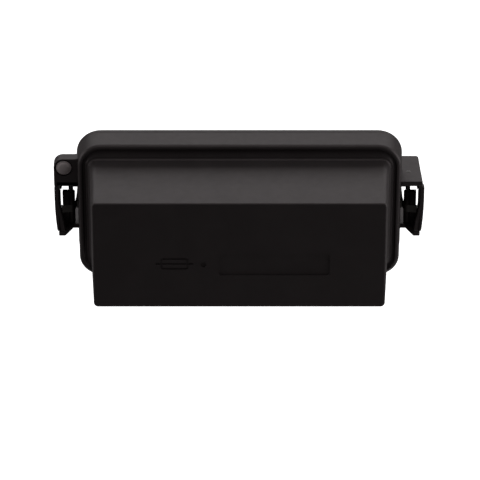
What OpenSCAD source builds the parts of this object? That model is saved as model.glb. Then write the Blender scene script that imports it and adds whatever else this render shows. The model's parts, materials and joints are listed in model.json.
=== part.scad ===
// Sealed, wall-mounted box for cartridge fuses: a base with a sealed wire entry, a fuse block
// with two rows of cartridge fuses, and a lift-off cover held by a sprung latch at each end.
// +X runs along the box, +Z is up, and the cover faces -Y. The mounting face is the plane y = 0.
// Shapes are drawn in the box's own axes, x along it, y up it and z out from the mounting face,
// and placed() turns them upright.

/* [Cover rim] */
// Length of the cover's rim at its front
rim_w = 160; // [159:0.5:160]
// How much further each end of the rim stands out at its back edge
rim_flare = 1; // [0.5:0.1:1]
// Height of the cover's rim
rim_h = 74; // [73.5:0.5:75]
// Corner radius of the rim
rim_r = 12; // [11:0.5:13]
// Distance from the mounting face to the rim's back edge
rim_back = 14; // [14:0.5:15]
// Distance from the mounting face to the rim's front face
rim_front = 31; // [31:0.5:32]
// Wall thickness of the cover and of the base
wall = 2.5; // [2.4:0.1:2.6]

/* [Cover body] */
// Length of the raised body where it leaves the rim
foot_w = 148.4; // [148:0.2:149]
// Height of the raised body where it leaves the rim
foot_h = 58.6; // [58.4:0.2:59]
// Length of the front face
face_w = 142.6; // [141:0.2:143]
// Height of the front face
face_h = 58.2; // [57:0.2:58.2]
// Distance from the mounting face to the front face
face_z = 75; // [74:0.5:78]
// Depth of the recessed marks on the front face
mark_depth = 0.5; // [0.3:0.1:0.8]

/* [Latches] */
// Half the height of a latch bracket
guard_half = 15.5; // [15.2:0.1:15.8]
// Thickness of a bracket's walls
guard_wall = 2.5; // [2.2:0.1:2.6]
// Distance of a latch's hinge pin from the middle of the box
pin_x = 84.2; // [84:0.1:84.4]
// Distance of the hinge pin from the mounting face
pin_z = 18; // [17.8:0.1:18.2]
// Diameter of the hinge pin
pin_d = 2.4; // [2.2:0.1:2.4]
// Radial running clearance of the lever on its pin
pin_gap = 0.05; // [0.03:0.01:0.08]

/* [Fuses] */
// Number of fuses in each of the two rows
fuse_columns = 4; // [4]
// Distance between neighbouring fuses
fuse_pitch = 19; // [18:0.5:19.5]
// Place of the first fuse along the box
first_fuse_x = -50; // [-51:0.5:-49]
// Distance of each row from the middle line
row_y = 12.5; // [12.4:0.1:12.6]
// Size of a fuse along the box
fuse_w = 12; // [11.8:0.1:12.2]
// Size of a fuse across the box
fuse_d = 14.3; // [14.1:0.1:14.5]
// Height of a fuse
fuse_h = 29; // [28:0.5:29]
// Gap between a fuse and its pocket on every side
pocket_gap = 0.15; // [0.1:0.05:0.25]

/* [Mounting] */
// Hole distance of the mounting inserts along the box
insert_dx = 128; // [127:0.5:129]
// Hole distance of the mounting inserts across the box
insert_dy = 43; // [42:0.5:44]
// Thread diameter of the mounting inserts
insert_hole_d = 5; // [4:0.5:5]

/* [Hidden] */
$fn = 48;
in = 0.01;                               // overlap that joins touching shapes

// Depths of the parts in the base, counted from the mounting face
retainer_z = 6;
mat_z = 8.5;
ledge_z = 13.5;
lock_top_z = 15.5;
deck_z = 18;
tub_top_z = 20.5;
boss_top_z = 25;
pocket_z = 28;
block_top_z = 37;

// Base
tub_w = 144;
tub_h = 57;
tub_r = 6;
ledge_open_w = 126;
ledge_open_h = 41.4;
foot_block = [15, 13];
collar_t = 1.8;
collar_gap = 0.6;
collar_flange_z = 10;
channel = 3;
gasket_h = 3;
gasket_z = rim_front - wall - gasket_h;
leg_z = 22;
catch_y = [3.5, 11];
catch_z = [7.4, 12];
catch_x = 86.5;
exit_w = 60;
exit_h = 6;

// Skirt, leg and collar outlines, each as length, height and corner radius
skirt_in = [rim_w - 2 * wall, rim_h - 2 * wall, rim_r - wall];
leg_out = [for (i = [0:2]) skirt_in[i] - (i < 2 ? 2 : 1) * channel];
leg_in = [for (i = [0:2]) leg_out[i] - (i < 2 ? 2 : 1) * wall];
collar_out = [for (i = [0:2]) skirt_in[i] - (i < 2 ? 2 : 1) * collar_gap];
collar_in = [for (i = [0:2]) collar_out[i] - (i < 2 ? 2 : 1) * collar_t];

// Screws that clamp the wire seal
screw_x = [-48, 0, 48];
screw_y = 23.2;
screw_d = 3;
screw_head_d = 5.6;
screw_head_h = 1.7;
screw_hole_d = 3.4;
screw_tip_z = 24;

// Fuse terminals
blade_w = 6.3;
blade_t = 0.8;
blade_span = 8;
blade_top_z = block_top_z;
jaw_t = 0.6;
jaw_gap = 0.06;
fuse_wall = 0.9;
cap_h = 7;
cap_wall = 0.8;
wire_hole_d = 4.4;
stud_x = 40;
stud_d = 6;
stud_top_z = 36;
feed_hole_d = 9;

// Latch lever
lever_half = guard_half - guard_wall - 0.2;
lever_r = 2;
lever_front_z = 28.5;
hook_x = 84.3;
hook_z = [3, 7];
web_t = 3.2;
guard_back_z = 1.4;
ear_top = 28.1;
ear_x = 91.9;
ear_r = 4.5;
ear_z = 22.5;
button_at = [-86.9, 23.2];
button_d = 7.5;
leaf_t = 0.5;
leaf_y = [-3, 1];
leaf_tip_x = 88.4;
leaf_x = rim_w / 2 + 1.1;
foot_z = [19, 22];
plate_back_z = 14;

fuse_colors = ["hotpink", "limegreen", "crimson", "gold", "deepskyblue", "sienna", "limegreen", "gold"];
fuse_count = 2 * fuse_columns;
fuse_names = [for (i = [1:fuse_count]) for (p = ["housing", "link", "window"]) str("fuse_", i, "_", p)];

// ---------- helpers ----------

module placed() rotate([90, 0, 0]) children();

// Flat rounded rectangle on the origin, with true arcs
module rounded(size, r) {
    square([size[0], size[1] - 2 * r], center = true);
    square([size[0] - 2 * r, size[1]], center = true);
    for (x = [-1, 1], y = [-1, 1])
        translate([x * (size[0] / 2 - r), y * (size[1] / 2 - r)]) circle(r);
}

// Rounded plate between two depths; outline is [length, height, radius]
module plate(outline, z0, z1)
    translate([0, 0, z0]) linear_extrude(z1 - z0) rounded([outline[0], outline[1]], outline[2]);

// Rounded ring between two outlines
module ring(outer, inner, z0, z1) difference() {
    plate(outer, z0, z1);
    plate(inner, z0 - 1, z1 + 1);
}

// Outline in x and z, drawn through the box's height from y0 to y1
module upright(y0, y1) translate([0, y1, 0]) rotate([90, 0, 0]) linear_extrude(y1 - y0) children();

module both_ends() {
    children();
    mirror([1, 0, 0]) children();
}

module four(dx, dy) for (x = [-1, 1], y = [-1, 1]) translate([x * dx / 2, y * dy / 2, 0]) children();

// One thin slice of the cover's body, with square-looking upper and round lower corners
module slice(size, z, r_low, r_top) translate([0, 0, z]) linear_extrude(in) {
    for (x = [-1, 1]) {
        translate([x * (size[0] / 2 - r_low), r_low - size[1] / 2]) circle(r_low, $fn = 32);
        translate([x * (size[0] / 2 - r_top), size[1] / 2 - r_top]) circle(r_top, $fn = 32);
    }
}

// Places of the fuses, numbered along the upper row first
function fuse_x(i) = first_fuse_x + (i % fuse_columns) * fuse_pitch;
function fuse_row(i) = i < fuse_columns ? 1 : -1;
function blade_y(i, side) = fuse_row(i) * row_y + side * blade_span / 2;

module at_fuse(i) translate([fuse_x(i), fuse_row(i) * row_y, 0]) children();

// ---------- base ----------

module base_housing() color("#1d1c1d") placed() difference() {
    union() {
        ring([tub_w, tub_h, tub_r], [tub_w - 2 * wall, tub_h - 2 * wall, tub_r - wall], 0, tub_top_z);
        ring([tub_w - wall, tub_h - wall, tub_r - 1], [ledge_open_w, ledge_open_h, 2], ledge_z, deck_z);
        ring(collar_out, [tub_w - wall, tub_h - wall, tub_r - 1], collar_flange_z, collar_flange_z + wall);
        ring(collar_out, collar_in, collar_flange_z, gasket_z - 0.05);
        for (x = [-1, 1], y = [-1, 1])
            translate([x * (tub_w - wall - foot_block[0]) / 2, y * (tub_h - wall - foot_block[1]) / 2, 0])
                translate([-foot_block[0] / 2, -foot_block[1] / 2, 0])
                    cube([foot_block[0], foot_block[1], ledge_z + in]);
        both_ends() upright(catch_y[0], catch_y[1])
            polygon([[tub_w / 2 - 1, catch_z[0]], [catch_x, catch_z[0]], [catch_x, catch_z[0] + 2],
                [catch_x - 2.4, catch_z[1]], [tub_w / 2 - 1, catch_z[1]]]);
    }
    // Insert pockets, screw holes and the wire exit in the lower wall
    four(insert_dx, insert_dy) translate([0, 0, -1]) cylinder(d = 8, h = 11);
    for (x = screw_x, y = [-screw_y, screw_y])
        translate([x, y, ledge_z - 1]) cylinder(d = screw_hole_d, h = deck_z - ledge_z + 2);
    translate([-exit_w / 2, -tub_h / 2 - 1, -1]) cube([exit_w, wall + 2, exit_h + 1]);
}

module mounting_inserts() color("darkgoldenrod") placed() four(insert_dx, insert_dy) difference() {
    cylinder(d = 8, h = 10);
    translate([0, 0, -1]) cylinder(d = insert_hole_d, h = 9.5);
}

// Cross-shaped outline that leaves the corner blocks free
module seal_outline() {
    gap = 0.2;
    clear_w = tub_w - 2 * wall - 2 * gap;
    clear_h = tub_h - 2 * wall - 2 * gap;
    square([tub_w - wall - 2 * foot_block[0] - 2 * gap, clear_h], center = true);
    square([clear_w, tub_h - wall - 2 * foot_block[1] - 2 * gap], center = true);
}

// Holes for the wires, the feed cable and the clamping screws
module seal_holes(z0, z1, wire_d) {
    for (i = [0:fuse_count - 1])
        translate([fuse_x(i), blade_y(i, fuse_row(i)), z0 - 1]) cylinder(d = wire_d, h = z1 - z0 + 2);
    translate([stud_x + 14, 0, z0 - 1]) cylinder(d = feed_hole_d, h = z1 - z0 + 2);
}

module screw_holes(z0, z1) for (x = screw_x, y = [-screw_y, screw_y])
    translate([x, y, z0 - 1]) cylinder(d = screw_hole_d, h = z1 - z0 + 2);

module wire_seal_mat() color("#9c4a2f") placed() difference() {
    translate([0, 0, mat_z]) linear_extrude(ledge_z - mat_z) seal_outline();
    seal_holes(mat_z, ledge_z, wire_hole_d - 0.8);
    screw_holes(mat_z, ledge_z);
}

module seal_retainer() color("#2a2a2b") placed() difference() {
    translate([0, 0, retainer_z]) linear_extrude(mat_z - retainer_z) seal_outline();
    seal_holes(retainer_z, mat_z, wire_hole_d + 0.6);
    screw_holes(retainer_z, mat_z);
}

module retainer_screws() color("silver") placed()
    for (x = screw_x, y = [-screw_y, screw_y]) translate([x, y, 0]) difference() {
        union() {
            translate([0, 0, retainer_z - screw_head_h]) cylinder(d = screw_head_d, h = screw_head_h);
            translate([0, 0, retainer_z - in]) cylinder(d = screw_d, h = screw_tip_z - retainer_z);
        }
        // Hexalobular drive, as a plain round socket with a cross
        translate([0, 0, retainer_z - screw_head_h - 1]) cylinder(d = 1.6, h = 2);
        for (a = [0, 90]) rotate([0, 0, a])
            translate([-1.5, -0.3, retainer_z - screw_head_h - 1]) cube([3, 0.6, 1.9]);
    }

module terminal_lock() color("firebrick") placed() difference() {
    plate([ledge_open_w - 0.6, ledge_open_h - 0.6, 1.8], ledge_z + in, lock_top_z);
    seal_holes(ledge_z, lock_top_z, wire_hole_d);
}

module fuse_block() color("#303034") placed() difference() {
    union() {
        plate([ledge_open_w - 0.6, ledge_open_h - 0.6, 1.8], lock_top_z, deck_z + in);
        plate([132, 51.2, 3], deck_z, tub_top_z);
        plate([124, 44, 2.5], tub_top_z - in, block_top_z);
        for (x = screw_x, y = [-1, 1])
            translate([x - 3.5, y > 0 ? 20 : -25.6, deck_z]) cube([7, 5.6, boss_top_z - deck_z]);
    }
    for (i = [0:fuse_count - 1]) at_fuse(i) {
        translate([-fuse_w / 2 - pocket_gap, -fuse_d / 2 - pocket_gap, pocket_z])
            cube([fuse_w + 2 * pocket_gap, fuse_d + 2 * pocket_gap, block_top_z]);
        // Blade slots, and the deeper cavity of the outer terminal
        for (side = [-1, 1]) translate([-blade_w / 2 - 0.1, side * blade_span / 2 - blade_t / 2 - 0.1, 20])
            cube([blade_w + 0.2, blade_t + 0.2, 10]);
        translate([-3.5, fuse_row(i) * blade_span / 2 - 2, lock_top_z - 1]) cube([7, 4, 8]);
        translate([-blade_w / 2 - 0.1, -fuse_row(i) * blade_span / 2 - blade_t / 2 - 0.1, lock_top_z - 1])
            cube([blade_w + 0.2, blade_t + 0.2, 8]);
    }
    // Channel under the block for the busbar, and the well of the input stud
    translate([first_fuse_x - 5, -10, lock_top_z - 1]) cube([stud_x + 10 - first_fuse_x + 5, 20, 5.2]);
    translate([stud_x - 13.5, -15, 23]) cube([28, 30, block_top_z]);
    translate([stud_x, 0, 15]) cylinder(d = stud_d + 0.4, h = 10);
    translate([stud_x + 14, 0, 12]) cylinder(d = feed_hole_d, h = 12);
    for (x = screw_x, y = [-screw_y, screw_y])
        translate([x, y, deck_z - 1]) cylinder(d = screw_d + 0.06, h = 9);
}

module input_busbar() color("peru") placed() difference() {
    union() {
        // Flat spine under the block, with a bent-up blade for every fuse
        translate([first_fuse_x - 4.5, -9.2, 17]) cube([stud_x + 9 - first_fuse_x + 4.5, 18.4, 1.2]);
        for (i = [0:fuse_count - 1]) {
            y = blade_y(i, -fuse_row(i));
            translate([fuse_x(i) - blade_w / 2, y - blade_t / 2, 17])
                cube([blade_w, blade_t, blade_top_z - 17]);
        }
    }
    translate([stud_x, 0, 16]) cylinder(d = stud_d + 0.06, h = 4);
}

module output_terminals() color("lightgray") placed()
    for (i = [0:fuse_count - 1]) translate([fuse_x(i), blade_y(i, fuse_row(i)), 0]) {
        translate([-blade_w / 2, -blade_t / 2, 17]) cube([blade_w, blade_t, blade_top_z - 17]);
        // Crimp barrel that holds the wire
        difference() {
            translate([-3.2, -1.7, 15.6]) cube([6.4, 3.4, 5.4]);
            translate([-1.4, -1.4, 14]) cube([2.8, 2.8, 3.4]);
        }
    }

module input_stud() color("silver") placed() {
    translate([stud_x, 0, 17 + 1.2]) cylinder(d = stud_d, h = stud_top_z - 18.2);
    translate([stud_x, 0, lock_top_z]) cylinder(d = stud_d, h = 2.8);
    translate([stud_x, 0, lock_top_z]) cylinder(d = 10, h = 1.5);
}

module stud_washer() color("gainsboro") placed() translate([stud_x, 0, 23]) difference() {
    cylinder(d = 14, h = 1.6);
    translate([0, 0, -1]) cylinder(d = stud_d + 0.1, h = 4);
}

module stud_nut() color("silver") placed() translate([stud_x, 0, 24.6]) difference() {
    cylinder(d = 11.5, h = 5, $fn = 6);
    translate([0, 0, -1]) cylinder(d = stud_d + 0.1, h = 7);
}

// ---------- cover ----------

// Outline of a bracket's upper wall, and of its lower wall with the slanted front
guard_back = [[rim_w / 2 - 0.5, guard_back_z], [88.4, guard_back_z], [89.9, guard_back_z + 1.5]];
upper_guard = concat(guard_back, [[90.9, lever_front_z], [rim_w / 2 - 0.5, lever_front_z]]);
lower_guard = concat(guard_back, [[90.2, lever_front_z], [86.9, lever_front_z], [83.2, 20.6],
    [rim_w / 2 - 0.5, 20.6]]);

module bracket() {
    upright(guard_half - guard_wall, guard_half) polygon(upper_guard);
    upright(-guard_half, guard_wall - guard_half) polygon(lower_guard);
}

// Flat ear above the left bracket, with a lip round a shallow recess
module ear() {
    y0 = guard_half - guard_wall;
    outer = -ear_x;
    inner = -rim_w / 2 + 1;
    difference() {
        translate([0, 0, ear_z]) linear_extrude(lever_front_z - ear_z) {
            translate([outer, y0]) square([inner - outer, ear_top - ear_r - y0]);
            translate([outer + ear_r, y0]) square([inner - outer - ear_r, ear_top - y0]);
            translate([outer + ear_r, ear_top - ear_r]) circle(ear_r);
        }
        translate([button_at[0], button_at[1], lever_front_z - 0.8]) cylinder(d = button_d + 1.4, h = 2);
        translate([button_at[0], button_at[1], ear_z - 1]) cylinder(d = 4.4, h = 9);
    }
}

// Generic marks on the front face: a fuse symbol, a dot and a blank name panel
module front_marks() {
    translate([-31.6, -4.4, face_z - mark_depth]) {
        linear_extrude(2) difference() {
            rounded([13.6, 6.4], 0.9);
            rounded([11.8, 4.6], 0.4);
        }
        linear_extrude(2) for (x = [-1, 1]) translate([x * 4.6 - 4.6, -0.45]) square([9.2, 0.9]);
    }
    translate([-17.5, -4.9, face_z - mark_depth]) cylinder(d = 2.9, h = 2);
    translate([17, -4.9, face_z - mark_depth]) linear_extrude(2) rounded([54, 12], 1.2);
}

module cover_shell() color("#262425") placed() difference() {
    union() {
        difference() {
            hull() {
                plate([rim_w + 2 * rim_flare, rim_h, rim_r + rim_flare / 2], rim_back, rim_back + in);
                plate([rim_w, rim_h, rim_r], rim_back + 1, rim_front - 1.8);
                plate([rim_w - 1, rim_h - 1, rim_r - 0.5], rim_front - 0.6, rim_front - 0.5);
                plate([rim_w - 3.2, rim_h - 3.2, rim_r - 1.6], rim_front - 0.1, rim_front);
            }
            plate(skirt_in, rim_back - 1, rim_front - wall);
        }
        ring(leg_out, leg_in, leg_z, rim_front - 1);
        hull() {
            slice([foot_w, foot_h], rim_front - 1, 4, 4);
            slice([face_w, face_h], face_z - 0.9, 2.2, 1.8);
            slice([face_w - 0.5, face_h - 0.5], face_z - 0.3, 2, 1.6);
            slice([face_w - 1.8, face_h - 1.8], face_z - in, 1.4, 1);
        }
        both_ends() bracket();
        ear();
    }
    hull() {
        slice([foot_w - 2 * wall, foot_h - 2 * wall], rim_front - wall - 1, 2, 2);
        slice([face_w - 2 * wall, face_h - 2 * wall], face_z - wall, 1.5, 1);
    }
    // Groove round the rim's front face
    ring([rim_w - 4.4, rim_h - 4.4, rim_r - 2.2], [foot_w + 2.4, foot_h + 2.4, 5],
        rim_front - 1, rim_front + 1);
    for (x = [-pin_x, pin_x]) translate([x, 0, pin_z]) rotate([90, 0, 0])
        cylinder(d = pin_d + 0.04, h = 2 * guard_half + 2, center = true);
    front_marks();
}

module cover_gasket() color("#7d4a3a") placed()
    ring([skirt_in[0] - 0.2, skirt_in[1] - 0.2, skirt_in[2] - 0.1],
        [leg_out[0] + 0.2, leg_out[1] + 0.2, leg_out[2] + 0.1], gasket_z, gasket_z + gasket_h);

module latch_pins() color("dimgray") placed() for (x = [-pin_x, pin_x])
    translate([x, 0, pin_z]) rotate([90, 0, 0]) cylinder(d = pin_d, h = 2 * guard_half, center = true);

module key_button() color("#4a4545") placed() translate([button_at[0], button_at[1], 0]) {
    translate([0, 0, ear_z - 3]) cylinder(d = 4.3, h = lever_front_z - 0.8 - ear_z + 3);
    // Domed head
    rise = 1.8;
    ball = (button_d * button_d / 4 + rise * rise) / (2 * rise);
    intersection() {
        translate([0, 0, lever_front_z - 0.8]) cylinder(d = button_d, h = rise + 1);
        translate([0, 0, lever_front_z - 0.8 + rise - ball]) sphere(ball, $fn = 96);
    }
}

function rim_end(z) = rim_w / 2 + rim_flare * (rim_front - 1.8 - z) / (rim_front - 1.8 - rim_back - in);

// Narrow leaf on the rim's end; its curved front end pushes the lever's lip outwards
module leaf_spring() {
    upright(leaf_y[0], leaf_y[1]) polygon([[leaf_x, 6], [leaf_x + leaf_t, 6], [leaf_x + leaf_t + 0.1, 18],
        [82.7, 25], [leaf_tip_x, 26.4], [leaf_tip_x, 27], [82, 25.6], [leaf_x, 18.4]]);
    // Foot that stands on the rim's end, which leans outwards towards its back edge
    upright(leaf_y[0], leaf_y[1]) polygon([for (z = foot_z) [rim_end(z), z],
        [leaf_x + 0.2, foot_z[1]], [leaf_x + 0.2, foot_z[0]]]);
}

module leaf_spring_right() color("#3c3a3a") placed() leaf_spring();
module leaf_spring_left() color("#3c3a3a") placed() mirror([1, 0, 0]) leaf_spring();

// ---------- latch levers ----------

// Knuckle on the pin, with its web out to the finger plate
module knuckle(y0, y1, reach) upright(y0, y1) difference() {
    union() {
        translate([pin_x, pin_z]) circle(lever_r);
        translate([pin_x + 1, pin_z - web_t / 2]) square([reach - pin_x - 1, web_t]);
    }
    translate([pin_x, pin_z]) circle(d = pin_d + 2 * pin_gap);
}

module lever() {
    // Finger plate, bowed slightly inwards at its lower end and thinner behind its front edge
    difference() {
        translate([0, 0, plate_back_z]) linear_extrude(lever_front_z - plate_back_z)
            polygon([[89.8, lever_half], [91.6, lever_half], [91.9, lever_half - 1], [91.8, 0],
                [91, -lever_half + 1], [90.6, -lever_half], [88.9, -lever_half], [89.5, -4], [89.8, 2]]);
        upright(-20, 20) polygon([[90.8, plate_back_z - 1], [93, plate_back_z - 1],
            [93, lever_front_z - 2.6], [91.3, lever_front_z - 2.6]]);
    }
    // Thick lip at the plate's front edge
    translate([0, 0, lever_front_z - 2.6]) linear_extrude(2.6)
        polygon([[90.2, 3], [89.6, 3], [87.6, -lever_half + 5], [87, -lever_half], [90, -lever_half]]);
    difference() {
        knuckle(-lever_half, 4.5, 90);
        translate([88.4, -4.5, 0]) cube([1.4 - 0.4, 12, 30]);
    }
    knuckle(8, lever_half, 90);
    // Arm behind the plate, with the hook that holds behind the catch of the base
    upright(catch_y[0], catch_y[1]) polygon([[90.1, hook_z[0]], [90.6, plate_back_z + 0.5],
        [89.1, plate_back_z + 0.5], [88.5, hook_z[1]], [hook_x, hook_z[1]],
        [hook_x, hook_z[0] + 2], [hook_x + 1.8, hook_z[0]]]);
}

module latch_lever_right() color("#2b2829") placed() lever();
module latch_lever_left() color("#2b2829") placed() mirror([1, 0, 0]) lever();

// ---------- fuses ----------

module fuse_housing() difference() {
    translate([-fuse_w / 2, -fuse_d / 2, pocket_z + 0.05]) cube([fuse_w, fuse_d, fuse_h - cap_h]);
    translate([fuse_wall - fuse_w / 2, fuse_wall - fuse_d / 2, pocket_z + 1])
        cube([fuse_w - 2 * fuse_wall, fuse_d - 2 * fuse_wall, fuse_h]);
    for (side = [-1, 1]) translate([-blade_w / 2 - 0.2, side * blade_span / 2 - 0.7, pocket_z - 1])
        cube([blade_w + 0.4, 1.4, 3]);
}

// Spring jaws that grip the blades, joined by the folded melting strip
module fuse_link() {
    half = blade_t / 2 + jaw_gap;
    for (side = [-1, 1]) translate([0, side * blade_span / 2, 0]) upright_x(blade_w)
        difference() {
            translate([-half - jaw_t, pocket_z + 1.2]) square([2 * (half + jaw_t), 14]);
            translate([-half, pocket_z]) square([2 * half, 12]);
        }
    top = pocket_z + 15.2;
    upright_x(3) polygon([[-4.6, top], [-4.6, top + 8], [-1, top + 8], [-1, top + 4], [1, top + 4],
        [1, top + 8], [4.6, top + 8], [4.6, top], [4.1, top], [4.1, top + 7.5], [1.5, top + 7.5],
        [1.5, top + 3.5], [-1.5, top + 3.5], [-1.5, top + 7.5], [-4.1, top + 7.5], [-4.1, top]]);
}

// Outline in y and z, drawn along x and centred on it
module upright_x(width) rotate([90, 0, 90]) translate([0, 0, -width / 2]) linear_extrude(width) children();

module fuse_window() {
    z = pocket_z + 0.05 + fuse_h - cap_h;
    difference() {
        translate([-fuse_w / 2, -fuse_d / 2, z]) cube([fuse_w, fuse_d, cap_h - 0.05]);
        translate([cap_wall - fuse_w / 2, cap_wall - fuse_d / 2, z - 1])
            cube([fuse_w - 2 * cap_wall, fuse_d - 2 * cap_wall, cap_h]);
    }
}

// ---------- all nodes ----------

base_housing();
mounting_inserts();
wire_seal_mat();
seal_retainer();
retainer_screws();
terminal_lock();
fuse_block();
input_busbar();
input_stud();
stud_nut();
stud_washer();
output_terminals();
cover_shell();
cover_gasket();
latch_pins();
key_button();
leaf_spring_left();
leaf_spring_right();
latch_lever_left();
latch_lever_right();
for (i = [0:fuse_count - 1]) {
    name = str("fuse_", i + 1);
    color(fuse_colors[i]) placed() at_fuse(i) fuse_housing();
    color("lightgray") placed() at_fuse(i) fuse_link();
    color("aliceblue", 0.5) placed() at_fuse(i) fuse_window();
}
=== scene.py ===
"""Looks of a sealed, wall-mounted box for cartridge fuses.

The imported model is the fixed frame. The classes below build the finer meshes that stand for its
nodes, and dress every other node in a procedural finish. Outlines are given in millimetres along
the box, up it and out from its mounting face; point() turns them into the frame's metres.
"""

from __future__ import annotations

import json
import logging
import math
from collections.abc import Mapping, Sequence
from dataclasses import dataclass, field
from enum import Enum
from typing import Any

import bmesh
import bpy
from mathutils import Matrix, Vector

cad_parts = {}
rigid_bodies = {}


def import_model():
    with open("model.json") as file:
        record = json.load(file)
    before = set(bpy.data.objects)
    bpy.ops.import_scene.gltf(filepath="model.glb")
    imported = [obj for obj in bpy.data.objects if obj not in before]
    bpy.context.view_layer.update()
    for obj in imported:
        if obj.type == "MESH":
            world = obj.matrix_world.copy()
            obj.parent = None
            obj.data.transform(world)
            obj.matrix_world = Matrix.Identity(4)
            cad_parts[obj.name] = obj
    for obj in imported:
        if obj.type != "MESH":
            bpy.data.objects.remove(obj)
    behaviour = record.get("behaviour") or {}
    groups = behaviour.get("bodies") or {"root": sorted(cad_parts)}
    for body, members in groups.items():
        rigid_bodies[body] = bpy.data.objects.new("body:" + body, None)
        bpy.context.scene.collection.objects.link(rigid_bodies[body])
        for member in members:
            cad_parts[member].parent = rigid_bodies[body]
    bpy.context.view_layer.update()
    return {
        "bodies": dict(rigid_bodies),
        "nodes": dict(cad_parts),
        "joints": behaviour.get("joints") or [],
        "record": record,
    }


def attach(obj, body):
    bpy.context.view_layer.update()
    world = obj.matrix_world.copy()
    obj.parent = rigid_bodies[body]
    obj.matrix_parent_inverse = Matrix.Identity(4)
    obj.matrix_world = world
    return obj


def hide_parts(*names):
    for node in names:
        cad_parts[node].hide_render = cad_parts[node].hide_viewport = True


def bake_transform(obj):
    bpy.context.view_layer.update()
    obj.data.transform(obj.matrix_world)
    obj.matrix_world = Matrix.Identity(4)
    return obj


MM = 0.001
LOG = logging.getLogger("fuse_box")

Pair = tuple[float, float]
Color = tuple[float, float, float]

# Signs of a rectangle's corners, anticlockwise from its first quarter
CORNERS = ((1, 1), (-1, 1), (-1, -1), (1, -1))
# Angles, in degrees, above which an edge is shaded hard, and above which it is rounded
HARD_EDGE = 32.0
BEVELLED_EDGE = 28.0
# Radius at which a turned profile starts and ends, where its end face closes
AXIS = 0.05
# Places that two pieces share: the button's middle, along and up, and the right pin's, along and out
BUTTON_AT: Pair = (-86.9, 23.2)
PIN_AT: Pair = (84.2, 18.0)


def point(along: float, up: float, out: float) -> Vector:
    """Point of the frame, in metres, from millimetres along, up and out of the box."""
    return Vector((along, -out, up)) * MM


# ---------- meshes ----------


class Plane(Enum):
    """Plane that an outline is drawn in, named after the way it is then drawn out."""

    ALONG = "along"
    UP = "up"
    OUT = "out"

    def place(self, first: float, second: float, drawn: float) -> Vector:
        """Point of an outline's pair of numbers, at a distance along the drawn-out way.

        Args:
            first: Outline's first number, along the box, or up it for ALONG.
            second: Outline's second number, out of the box, or up it for OUT.
            drawn: Distance along the way that the outline is drawn out.

        Returns:
            The point in the frame.
        """
        if self is Plane.ALONG:
            return point(drawn, first, second)
        if self is Plane.UP:
            return point(first, drawn, second)
        return point(first, second, drawn)


def arc(middle: Pair, radius: float, start: float, end: float, steps: int = 8) -> list[Pair]:
    """Points on an arc of a flat outline.

    Args:
        middle: Centre of the arc.
        radius: Its radius.
        start: Angle of its first point, in degrees.
        end: Angle of its last point.
        steps: Number of chords.

    Returns:
        The points, both ends included.
    """
    turns = [math.radians(start + (end - start) * k / steps) for k in range(steps + 1)]
    return [(middle[0] + radius * math.cos(t), middle[1] + radius * math.sin(t)) for t in turns]


@dataclass(frozen=True)
class Outline:
    """Rounded rectangle centred on the box's axis, in millimetres."""

    length: float
    height: float
    low_radius: float
    top_radius: float

    def inset(self, by: float) -> Outline:
        """The same outline, moved inwards on every side."""
        low = max(self.low_radius - by, 0.15)
        return Outline(self.length - 2 * by, self.height - 2 * by, low, max(self.top_radius - by, 0.15))

    def toward(self, other: Outline, share: float) -> Outline:
        """Outline part of the way to another one.

        Args:
            other: Outline that is reached when share is 1.
            share: How far to go, from 0 to 1.

        Returns:
            The outline in between.
        """
        mine = (self.length, self.height, self.low_radius, self.top_radius)
        theirs = (other.length, other.height, other.low_radius, other.top_radius)
        return Outline(*(a + (b - a) * share for a, b in zip(mine, theirs)))

    def ring(self, out: float, steps: int = 12) -> list[Vector]:
        """Closed ring of points at a distance from the mounting face.

        Args:
            out: Distance from the mounting face.
            steps: Number of chords in each corner.

        Returns:
            The ring's points.
        """
        ring: list[Vector] = []
        for quarter, (side, end) in enumerate(CORNERS):
            radius = self.top_radius if end > 0 else self.low_radius
            middle = (side * (self.length / 2 - radius), end * (self.height / 2 - radius))
            corner = arc(middle, radius, 90 * quarter, 90 * quarter + 90, steps)
            ring += [point(*place, out) for place in corner]
        return ring


def sharpen(mesh: bpy.types.Mesh) -> None:
    """Shades a mesh smooth, with hard edges where faces meet at more than HARD_EDGE degrees.

    Args:
        mesh: Mesh to shade.
    """
    work = bmesh.new()
    work.from_mesh(mesh)
    for face in work.faces:
        face.smooth = True
    for edge in work.edges:
        edge.smooth = len(edge.link_faces) == 2 and edge.calc_face_angle(0.0) < math.radians(HARD_EDGE)
    work.to_mesh(mesh)
    work.free()


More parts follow.
